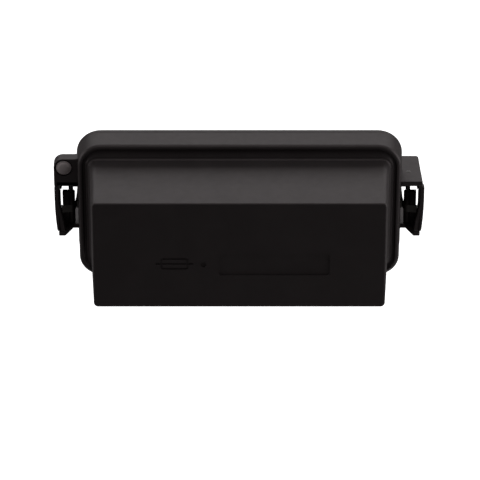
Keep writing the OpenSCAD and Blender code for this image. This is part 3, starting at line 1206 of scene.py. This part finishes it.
    def ear(self, finish: bpy.types.Material) -> bpy.types.Object:
        """The button's ear, with a fillet up to the rim and a recess round the button.

        Args:
            finish: Finish of the moulding.

        Returns:
            The ear.
        """
        low, top = self.guard_half - self.guard_wall, self.ear_top
        radius, fillet, root = self.ear_radius, self.ear_fillet, -76.0
        corner = (self.rim.top_radius - self.rim.length / 2, self.rim.height / 2 - self.rim.top_radius)
        reach = self.rim.top_radius + fillet
        rise = top + fillet - corner[1]
        run = math.sqrt(reach * reach - rise * rise)
        tangent = -math.degrees(math.atan2(rise, run))
        outline = [(root, low), (-self.ear_end, low), (-self.ear_end, top - radius)]
        outline += arc((radius - self.ear_end, top - radius), radius, 180, 90, 10)[1:]
        outline += arc((corner[0] - run, top + fillet), fillet, -90, tangent, 6)
        outline.append((root, top + 1.5))
        made = Shape("ear").prism(outline, Plane.OUT, self.ear_back, self.guard_front, 0.4)
        recess, depth = self.button_recess
        profile = [(recess, self.guard_front - depth), (recess, self.guard_front + 1.5)]
        sink = Shape("sink").lathe(profile, self.button, Plane.OUT)
        return cut(made.turned_into(finish), sink.turned_into(finish))

    def build(self, bench: Bench) -> None:
        """Builds the moulding and puts it in the cover's place.

        Args:
            bench: Frame and finishes.
        """
        finish = bench.finish_of("cover_shell")
        rings = [outline.ring(out) for outline, out in (*self.inside(), *self.outside())]
        skin = Shape("skin").loft(rings).turned_into(finish)
        shape = Shape("cover_moulding").take(cut(skin, self.marks(finish)))
        self.guard(shape, 1)
        self.guard(shape, -1)
        shape.take(self.ear(finish))
        bench.fit(shape.turned_into(finish), "cover_shell")


@dataclass
class KeyButton:
    """Pressed-in key button with a stepped, domed head."""

    middle: Pair = BUTTON_AT
    stem: float = 2.15
    head: float = 3.75
    tail: float = 19.5
    seat: float = 27.7
    top: float = 29.5

    def build(self, bench: Bench) -> None:
        """Turns the button and puts it in its node's place.

        Args:
            bench: Frame and finishes.
        """
        tail, stem, head, seat = self.tail, self.stem, self.head, self.seat
        profile = [(AXIS, tail), (stem - 0.3, tail), (stem, tail + 0.3), (stem, seat), (head - 0.2, seat)]
        profile += [(head, seat + 0.2), (head, seat + 0.6), (head - 0.2, seat + 0.82)]
        profile.append((head - 0.5, seat + 0.9))
        crown, base = head - 0.7, seat + 0.95
        rise = self.top - base
        profile += [(crown * math.cos(t), base + rise * math.sin(t)) for t in (0.05, 0.3, 0.6, 0.95, 1.3)]
        profile.append((AXIS, self.top))
        made = Shape("key_button_turned").lathe(profile, self.middle, Plane.OUT, 64)
        bench.fit(made.turned_into(bench.finish_of("key_button")), "key_button")


@dataclass
class CoverGasket:
    """Silicone gasket in the cover's channel, with two sealing beads on its free face."""

    outer: Outline = Outline(154.8, 68.8, 9.4, 9.4)
    inner: Outline = Outline(149.2, 63.2, 6.6, 6.6)
    low: float = 25.5
    high: float = 28.45
    bead: float = 0.5
    bead_insets: Pair = (0.75, 2.05)

    def build(self, bench: Bench) -> None:
        """Builds the gasket: a lofted core, and beads swept along it by geometry nodes.

        Args:
            bench: Frame and finishes.
        """
        finish = bench.finish_of("cover_gasket")
        floor, edge = self.low + self.bead, 0.3
        rows = [(self.outer, floor + edge), (self.outer, self.high)]
        rows += [(self.inner, self.high), (self.inner, floor + edge)]
        rows += [(self.inner.inset(-edge), floor), (self.outer.inset(edge), floor)]
        shape = Shape("cover_gasket_beaded").loft([outline.ring(out) for outline, out in rows], closed=True)
        for inset in self.bead_insets:
            path = self.outer.inset(inset).ring(floor + 0.05)
            shape.take(swept("bead", path, self.bead, finish))
        bench.fit(shape.turned_into(finish), "cover_gasket")


# ---------- latches ----------


class End(Enum):
    """End of the box that a latch is at, with the sign of its distance along the box."""

    RIGHT = 1
    LEFT = -1

    @property
    def word(self) -> str:
        """Name of the end, as the nodes have it."""
        return self.name.lower()


@dataclass
class Latch:
    """One end's sprung latch: finger lever with its hook, and the leaf that pushes its lip out."""

    end: End
    pin: Pair = PIN_AT
    bore: float = 1.25
    knuckle: float = 2.0
    half: float = 12.8
    back: float = 14.0
    front: float = 28.5
    lip: float = 2.6
    hook_low: float = 3.5
    hook_high: float = 11.0
    leaf_thickness: float = 0.5
    leaf_low: float = -3.0
    leaf_high: float = 1.0

    def plate(self, shape: Shape, finish: bpy.types.Material) -> None:
        """Adds the finger plate and the thick lip at its front edge.

        Args:
            shape: Shape that takes it in.
            finish: Finish of the moulding.
        """
        bow = [(91.6, 12.8), (91.9, 11.8), (91.9, 6), (91.8, 0), (91.5, -6), (91.0, -11.8), (90.6, -12.8)]
        inner = [(88.9, -12.8), (89.2, -8), (89.5, -4), (89.7, -1), (89.8, 2), (89.8, 12.8)]
        plate = Shape("plate").prism([*bow, *inner], Plane.OUT, self.back, self.front, 0.3)
        lean = [(90.8, self.back - 1), (94, self.back - 1), (94, self.front - self.lip)]
        lean.append((91.3, self.front - self.lip))
        wedge = Shape("wedge").prism(lean, Plane.UP, -20, 20, 0)
        shape.take(cut(plate.turned_into(finish), wedge.turned_into(finish)))
        lip = [(90.4, 3), (89.7, 3), (89.2, 0.4), (88.4, -4), (87.6, -7.8), (87.0, -12.8), (90.2, -12.8)]
        shape.prism(lip, Plane.OUT, self.front - self.lip, self.front, 0.3)

    def knuckles(self, finish: bpy.types.Material) -> bpy.types.Object:
        """The two bored knuckles, with their webs out to the plate.

        Args:
            finish: Finish of the moulding.

        Returns:
            The bored knuckles.
        """
        made = Shape("knuckles")
        along, out = self.pin
        round_side = arc(self.pin, self.knuckle, 53, 307, 16)
        web = [*round_side, (90.0, out - 1.6), (90.0, out + 1.6)]
        for low, high in ((-self.half, 4.5), (8.0, self.half)):
            made.prism(web, Plane.UP, low, high, 0.15, 2)
        bore = Shape("bore").lathe([(self.bore, -20), (self.bore, 20)], self.pin, Plane.UP, 32)
        bored = cut(made.turned_into(finish), bore.turned_into(finish))
        slit = rectangle((along + 4.2, -4.5), (along + 5.2, 7.5))
        gap = Shape("gap").prism(slit, Plane.OUT, out - 4, out + 4, 0)
        return cut(bored, gap.turned_into(finish))

    def lever(self, bench: Bench) -> None:
        """Builds the lever and puts it in its node's place.

        Args:
            bench: Frame and finishes.
        """
        node = f"latch_lever_{self.end.word}"
        finish = bench.finish_of(node)
        shape = Shape(f"{node}_moulded")
        self.plate(shape, finish)
        arm = [(90.1, 3), (90.6, 14.5), (89.1, 14.5), (88.6, 7.8)]
        tooth = [(88.2, 7), (84.5, 7), (84.3, 6.8), (84.3, 5), (86.1, 3)]
        shape.prism([*arm, *tooth], Plane.UP, self.hook_low, self.hook_high, 0.2)
        shape.take(self.knuckles(finish))
        if self.end is End.LEFT:
            shape.mirrored()
        bench.fit(shape.turned_into(finish), node)

    def leaf(self, bench: Bench) -> None:
        """Builds the leaf spring against the lever's lip; it stays still and doesn't bend with the lip.

        Args:
            bench: Frame and finishes.
        """
        path = [(81.35, 6), (81.35, 12), (81.42, 17.9), (81.7, 21.4), *arc((83.85, 24.4), 1.6, 172, 100, 5)]
        path += [(85.6, 26.15), (88.3, 26.7)]
        node = f"leaf_spring_{self.end.word}"
        shape = Shape(f"{node}_bent")
        shape.prism(band(path, self.leaf_thickness), Plane.UP, self.leaf_low, self.leaf_high, 0.1, 2)
        foot = rectangle((80.0, 19), (81.3, 22))
        shape.prism(foot, Plane.UP, self.leaf_low, self.leaf_high, 0.2, 2)
        if self.end is End.LEFT:
            shape.mirrored()
        side = self.end.value
        bend = Bend(f"latch_{self.end.word}", point(side * 82.0, 0, 24.0), point(side * 88.2, 0, 26.7))
        bench.fit(shape.turned_into(bench.finish_of(node)), node, bends=bend)

    def build(self, bench: Bench) -> None:
        """Builds both pieces of the latch."""
        self.lever(bench)
        self.leaf(bench)


@dataclass
class HingePins:
    """The two hinge pins, with slightly domed ends that stand a little proud of the brackets."""

    pin: Pair = PIN_AT
    radius: float = 1.2
    half: float = 15.5
    proud: float = 0.2

    def build(self, bench: Bench) -> None:
        """Turns both pins and puts them in their node's place.

        Args:
            bench: Frame and finishes.
        """
        tip, body, radius = self.half + self.proud, self.half - 0.2, self.radius
        low = [(AXIS, -tip), (radius * 0.65, -tip + 0.05), (radius - 0.05, -self.half), (radius, -body)]
        profile = [*low, *[(reach, -at) for reach, at in reversed(low)]]
        shape = Shape("latch_pins_turned")
        for side in (-1, 1):
            shape.lathe(profile, (side * self.pin[0], self.pin[1]), Plane.UP, 32)
        bench.fit(shape.turned_into(bench.finish_of("latch_pins")), "latch_pins")


# ---------- fuses ----------


@dataclass
class CartridgeFuse:
    """One cartridge fuse: coloured housing with grip ribs, clear window, and the link inside."""

    number: int
    outline: Outline = Outline(12, 14.3, 1.0, 1.0)
    low: float = 28.05
    joint: float = 50.05
    high: float = 57.0
    wall: float = 0.9
    span: float = 8.0
    blade: float = 6.3
    jaw_low: float = 29.2
    jaw_high: float = 43.2
    jaw_half: float = 1.06
    slot_half: float = 0.46
    strip_top: float = 50.95
    strip_bottom: float = 46.95
    columns: int = 4
    first: float = -50.0
    pitch: float = 19.0
    row: float = 12.5
    ribs: int = 5
    rib: Pair = (8, 0.8)
    rib_proud: float = 0.35
    rib_pitch: float = 1.7
    strip_half: float = 4.35
    strip_bend: float = 1.2
    strip_loop: float = 1.25
    strip_thickness: float = 0.45

    @property
    def middle(self) -> Pair:
        """The fuse's place along the box and up it."""
        column, low_row = (self.number - 1) % self.columns, (self.number - 1) // self.columns
        return self.first + self.pitch * column, self.row * (1 - 2 * low_row)

    def housing(self, bench: Bench) -> None:
        """Builds the open-topped housing, with slots for the blades and ribs for the fingers.

        Args:
            bench: Frame and finishes.
        """
        node = f"fuse_{self.number}_housing"
        finish = bench.finish_of(node)
        outer, inner = self.outline, self.outline.inset(self.wall)
        rows = [(outer.inset(0.5), self.low), (outer.inset(0.15), self.low + 0.15), (outer, self.low + 0.5)]
        rows += [(outer, self.joint - 0.25), (outer.inset(0.2), self.joint)]
        rows += [(inner, self.joint), (inner, self.low + 1.0)]
        body = Shape("body").loft([outline.ring(out, 5) for outline, out in rows])
        slots, slot = Shape("slots"), (self.blade + 0.4, 1.4)
        for side in (-1, 1):
            outline = rounded((0, side * self.span / 2), slot, 0.3)
            slots.prism(outline, Plane.OUT, self.low - 1, self.low + 2, 0)
        shape = Shape(f"{node}_ribbed").take(cut(body.turned_into(finish), slots.turned_into(finish)))
        proud, edge, highest = self.rib_proud, self.outline.height / 2, self.joint - 2.2
        rib = Shape("rib").prism(rounded((0, 0), self.rib, 0.35), Plane.UP, -proud, proud, 0.12, 2)
        heights = [highest - self.rib_pitch * k for k in range(self.ribs)]
        places = [point(0, side * edge, out) for side in (-1, 1) for out in heights]
        shape.take(repeated(rib.turned_into(finish), "ribs", places))
        bench.fit(shape.shifted(*self.middle).turned_into(finish), node)

    def window(self, bench: Bench) -> None:
        """Builds the clear cap over the link.

        Args:
            bench: Frame and finishes.
        """
        outer, inner, edge, floor = self.outline.inset(0.1), self.outline.inset(0.8), 0.7, self.joint + 0.05
        rows = [(inner.inset(0.4), self.high - 0.8), (inner, self.high - 1.2)]
        rows += [(inner, floor), (outer, floor)]
        rows += [(outer.inset(edge * a), self.high - edge * (1 - b)) for a, b in rounding(4)]
        node = f"fuse_{self.number}_window"
        shape = Shape(f"{node}_clear").loft([outline.ring(out, 5) for outline, out in rows])
        bench.fit(shape.shifted(*self.middle).turned_into(bench.finish_of(node)), node)

    def jaw(self, middle: float) -> list[Pair]:
        """Outline of a spring jaw, up and out of the box: an arch whose mouth widens a little.

        Args:
            middle: The jaw's middle, up the fuse.

        Returns:
            The outline's points.
        """
        wide, slim, low = self.jaw_half, self.slot_half, self.jaw_low
        crown = self.jaw_high - wide
        outline = [(middle - wide, low), (middle - slim - 0.05, low), (middle - slim, low + 0.6)]
        outline += arc((middle, crown - slim), slim, 180, 0, 6)
        outline += [(middle + slim, low + 0.6), (middle + slim + 0.05, low), (middle + wide, low)]
        return outline + arc((middle, crown), wide, 0, 180, 8)

    def strip(self) -> list[Pair]:
        """Middle line of the melting strip, which dips in a loop between the two jaws.

        Returns:
            The line's points.
        """
        half, loop, bend = self.strip_half, self.strip_loop, self.strip_bend
        foot, top = self.jaw_high - 0.6, self.strip_top - bend
        path = [(-half, foot), *arc((bend - half, top), bend, 180, 90, 5)]
        path += arc((-loop - bend, top), bend, 90, 0, 5)[1:]
        path += arc((0, self.strip_bottom + loop), loop, 180, 360, 8)
        path += arc((loop + bend, top), bend, 180, 90, 5)
        return [*path, *arc((half - bend, top), bend, 90, 0, 5)[1:], (half, foot)]

    def link(self, bench: Bench) -> None:
        """Builds the spring jaws and the folded melting strip that joins them.

        Args:
            bench: Frame and finishes.
        """
        node = f"fuse_{self.number}_link"
        shape = Shape(f"{node}_folded")
        half = self.blade / 2
        for side in (-1, 1):
            shape.prism(self.jaw(side * self.span / 2), Plane.ALONG, -half, half, 0.08, 2)
        shape.prism(band(self.strip(), self.strip_thickness), Plane.ALONG, -1.5, 1.5, 0.08, 2)
        bench.fit(shape.shifted(*self.middle).turned_into(bench.finish_of(node)), node)

    def build(self, bench: Bench) -> None:
        """Builds the three pieces of the fuse.

        Args:
            bench: Frame and finishes.
        """
        self.housing(bench)
        self.link(bench)
        self.window(bench)


# ---------- base ----------


@dataclass
class BaseParts:
    """Moulded and stamped parts of the base, and the radius of each one's edges."""

    edges: Mapping[str, float] = field(
        default_factory=lambda: {
            "base_housing": 0.3, "wire_seal_mat": 0.3, "seal_retainer": 0.25, "terminal_lock": 0.2,
            "fuse_block": 0.25, "input_busbar": 0.12, "output_terminals": 0.08,
        }
    )

    def build(self, bench: Bench) -> None:
        """Puts a copy with rounded edges in each part's place."""
        for node, width in self.edges.items():
            bench.ease(node, width)


@dataclass
class SealScrews:
    """Cross-recessed screws that clamp the wire seal, as one pattern set at every place."""

    columns: tuple[float, ...] = (-48.0, 0.0, 48.0)
    row: float = 23.2
    head_low: float = 4.3
    head_high: float = 6.0
    head: float = 2.8
    wing: Pair = (1.5, 0.3)
    shank: float = 1.5
    pitch: float = 1.1
    thread: float = 0.28
    tip: float = 24.0

    def build(self, bench: Bench) -> None:
        """Builds one screw, and sets a copy at every place with geometry nodes.

        Args:
            bench: Frame and finishes.
        """
        finish = bench.finish_of("retainer_screws")
        low, high, head, edge = self.head_low, self.head_high, self.head, 0.15
        profile = [(AXIS, low), (head * 0.6, low), (head * 0.86, low + 0.25), (head, low + 0.8)]
        profile += [(head, high - edge), (head - edge, high), (self.shank, high), (AXIS, high)]
        crown = Shape("crown").lathe(profile, (0, 0), Plane.OUT, 32)
        recess = Shape("recess").lathe([(1.0, low - 1), (0.7, low + 0.9)], (0, 0), Plane.OUT, 16)
        for along, up in (self.wing, self.wing[::-1]):
            recess.prism(rectangle((-along, -up), (along, up)), Plane.OUT, low - 1, low + 0.8, 0)
        screw = Shape("screw").take(cut(crown.turned_into(finish), recess.turned_into(finish)))
        screw.thread((0, 0), self.shank, self.pitch, high - 0.1, self.tip, self.thread)
        places = [point(along, side * self.row, 0) for along in self.columns for side in (-1, 1)]
        piece = repeated(screw.turned_into(finish), "retainer_screws_threaded", places)
        bench.fit(piece, "retainer_screws")


@dataclass
class MountingInserts:
    """Threaded brass inserts in the base's corner blocks."""

    spacing: Pair = (128.0, 43.0)
    radius: float = 4.0
    bore: float = 2.5
    depth: float = 8.5
    length: float = 10.0
    pitch: float = 0.8
    thread: float = 0.3

    def build(self, bench: Bench) -> None:
        """Turns one insert with grooves for its thread, and sets four with geometry nodes.

        Args:
            bench: Frame and finishes.
        """
        finish = bench.finish_of("mounting_inserts")
        turns, edge, bore, radius = int(self.depth / self.pitch) - 1, 0.25, self.bore, self.radius
        profile = [(AXIS, self.depth), (bore, self.depth)]
        for k in reversed(range(turns)):
            at = 0.8 + k * self.pitch
            profile += [(bore + self.thread, at + self.pitch / 2), (bore, at)]
        profile += [(bore + 0.35, 0.35), (bore + 0.5, 0.0), (radius - edge, 0.0), (radius, edge)]
        profile += [(radius, self.length - edge), (radius - edge, self.length), (AXIS, self.length)]
        insert = Shape("insert").lathe(profile, (0, 0), Plane.OUT, 40)
        half, rise = self.spacing[0] / 2, self.spacing[1] / 2
        places = [point(side * half, end * rise, 0) for side in (-1, 1) for end in (-1, 1)]
        piece = repeated(insert.turned_into(finish), "mounting_inserts_turned", places)
        bench.fit(piece, "mounting_inserts")


@dataclass
class FeedStud:
    """Threaded stud on the busbar, with its washer and hexagon nut."""

    along: float = 40.0
    radius: float = 3.0
    low: float = 15.5
    head: float = 5.0
    head_thick: float = 1.5
    shoulder: float = 18.2
    pitch: float = 1.0
    thread: float = 0.45
    top: float = 36.0
    washer_low: float = 23.0
    washer: float = 7.0
    washer_thick: float = 1.6
    nut: float = 5.75
    nut_thick: float = 5.0

    def build(self, bench: Bench) -> None:
        """Builds the stud, the washer and the nut.

        Args:
            bench: Frame and finishes.
        """
        middle = (self.along, 0.0)
        low, shoulder, radius, edge = self.low, self.shoulder, self.radius, 0.2
        seat, head = low + self.head_thick, self.head
        profile = [(AXIS, low), (head - edge, low), (head, low + edge), (head, seat - edge)]
        profile += [(head - edge, seat), (radius, seat), (radius, shoulder), (AXIS, shoulder)]
        stud = Shape("input_stud_threaded").lathe(profile, middle, Plane.OUT)
        stud.thread(middle, radius, self.pitch, shoulder - 0.1, self.top, self.thread)
        bench.fit(stud.turned_into(bench.finish_of("input_stud")), "input_stud")
        low, high = self.washer_low, self.washer_low + self.washer_thick
        inner, outer = radius + 0.05, self.washer
        profile = [(inner, low), (outer - edge, low), (outer, low + edge), (outer, high - edge)]
        profile += [(outer - edge, high), (inner, high)]
        washer = Shape("stud_washer_turned").lathe(profile, middle, Plane.OUT, 48, closed=True)
        bench.fit(washer.turned_into(bench.finish_of("stud_washer")), "stud_washer")
        finish, top = bench.finish_of("stud_nut"), high + self.nut_thick
        nut = Shape("nut").prism(arc(middle, self.nut, 0, 300, 5), Plane.OUT, high, top, 0.35)
        bore = Shape("bore").lathe([(inner, high - 1), (inner, top + 1)], middle, Plane.OUT, 40)
        bored = cut(nut.turned_into(finish), bore.turned_into(finish))
        bored.name = bored.data.name = "stud_nut_bored"
        bench.fit(bored, "stud_nut")


# ---------- studio ----------


@dataclass
class Softbox:
    """Rectangular studio light that the camera doesn't see."""

    name: str
    place: tuple[float, float, float]
    size: Pair
    radiance: float

    def build(self) -> None:
        """Sets up the light, facing the box."""
        light = bpy.data.lights.new(self.name, "AREA")
        light.shape = "RECTANGLE"
        light.size, light.size_y = self.size
        light.energy = self.radiance * math.pi * self.size[0] * self.size[1]
        made = bpy.data.objects.new(self.name, light)
        made.location = self.place
        made.rotation_euler = (-Vector(self.place)).to_track_quat("-Z", "Y").to_euler()
        made.visible_camera = False
        bpy.context.scene.collection.objects.link(made)


@dataclass
class Studio:
    """Pale floor, soft light and the camera."""

    middle: Vector = field(default_factory=lambda: point(0.32, 0, 31))
    elevation: float = 30.0
    distance: float = 1.7
    drop: float = 14.2
    scale: float = 0.4973
    sensor: float = 36.0
    picture: int = 480
    floor_drop: float = 0.28
    floor_half: float = 6.0
    ambient: float = 0.07
    lights: tuple[Softbox, ...] = (
        Softbox("overhead", (0.0, -0.1, 1.3), (1.8, 1.2), 0.78),
        Softbox("behind", (0.15, 1.5, 0.9), (2.8, 1.0), 1.2),
        Softbox("left", (-1.4, 0.1, 0.1), (1.3, 1.2), 1.3),
        Softbox("right", (1.4, 0.0, 0.1), (1.4, 1.2), 1.8),
        Softbox("below", (0.1, 0.12, -0.9), (1.4, 0.5), 1.9),
        Softbox("low_front", (0.12, -0.42, -0.52), (0.7, 0.4), 0.055),
    )

    def camera(self) -> None:
        """Camera a little above the box, straight in front of it."""
        turn = math.radians(self.elevation)
        up = Vector((0, math.sin(turn), math.cos(turn)))
        back = Vector((0, -math.cos(turn), math.sin(turn)))
        lens = bpy.data.cameras.new("camera")
        lens.sensor_width = self.sensor
        lens.lens = self.distance / MM / self.scale * self.sensor / self.picture
        lens.clip_start, lens.clip_end = 0.05, 50
        camera = bpy.data.objects.new("camera", lens)
        camera.location = self.middle - up * self.drop * MM + back * self.distance
        camera.rotation_euler = (-back).to_track_quat("-Z", "Y").to_euler()
        bpy.context.scene.collection.objects.link(camera)
        bpy.context.scene.camera = camera

    def floor(self) -> None:
        """White floor that lights nothing, so that the front stays dark."""
        mesh = bpy.data.meshes.new("floor")
        side = self.floor_half
        corners = [(side * across, side * along, -self.floor_drop) for across, along in CORNERS]
        mesh.from_pydata(corners, [], [(0, 1, 2, 3)])
        recipe = Recipe("floor")
        recipe.set(Base_Color=(0.9, 0.9, 0.9, 1), Roughness=0.9)
        recipe.set(Emission_Color=(1, 1, 1, 1), Emission_Strength=1.0)
        mesh.materials.append(recipe.material)
        floor = bpy.data.objects.new("floor", mesh)
        for ray in ("diffuse", "glossy", "transmission", "shadow"):
            setattr(floor, f"visible_{ray}", False)
        bpy.context.scene.collection.objects.link(floor)

    def world(self) -> None:
        """White to the camera, and dim for everything else."""
        world = bpy.data.worlds.new("studio")
        world.use_nodes = True
        bpy.context.scene.world = world
        tree = world.node_tree
        dim = tree.nodes["Background"]
        dim.inputs["Color"].default_value = (1.0, 0.97, 0.96, 1)
        dim.inputs["Strength"].default_value = self.ambient
        white = tree.nodes.new("ShaderNodeBackground")
        white.inputs["Color"].default_value = (1, 1, 1, 1)
        rays = tree.nodes.new("ShaderNodeLightPath")
        mixed = tree.nodes.new("ShaderNodeMixShader")
        tree.links.new(rays.outputs["Is Camera Ray"], mixed.inputs[0])
        tree.links.new(dim.outputs[0], mixed.inputs[1])
        tree.links.new(white.outputs[0], mixed.inputs[2])
        tree.links.new(mixed.outputs[0], tree.nodes["World Output"].inputs[0])

    def build(self) -> None:
        """Sets up everything round the box."""
        self.camera()
        self.floor()
        self.world()
        for light in self.lights:
            light.build()
        bpy.context.scene.view_settings.view_transform = "Standard"
        LOG.info("studio with %d lights", len(self.lights))


def main() -> None:
    """Builds every sub-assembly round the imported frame."""
    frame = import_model()
    logging.basicConfig(level=logging.INFO, format="%(name)s: %(message)s")
    bench = Bench(frame, Palette())
    Studio().build()
    bench.dress()
    parts = (
        BaseParts(), SealScrews(), MountingInserts(), FeedStud(), *(CartridgeFuse(k + 1) for k in range(8)),
        CoverMoulding(), KeyButton(), CoverGasket(), HingePins(), Latch(End.RIGHT), Latch(End.LEFT),
    )
    for part in parts:
        part.build(bench)


if __name__ == "__main__":
    main()
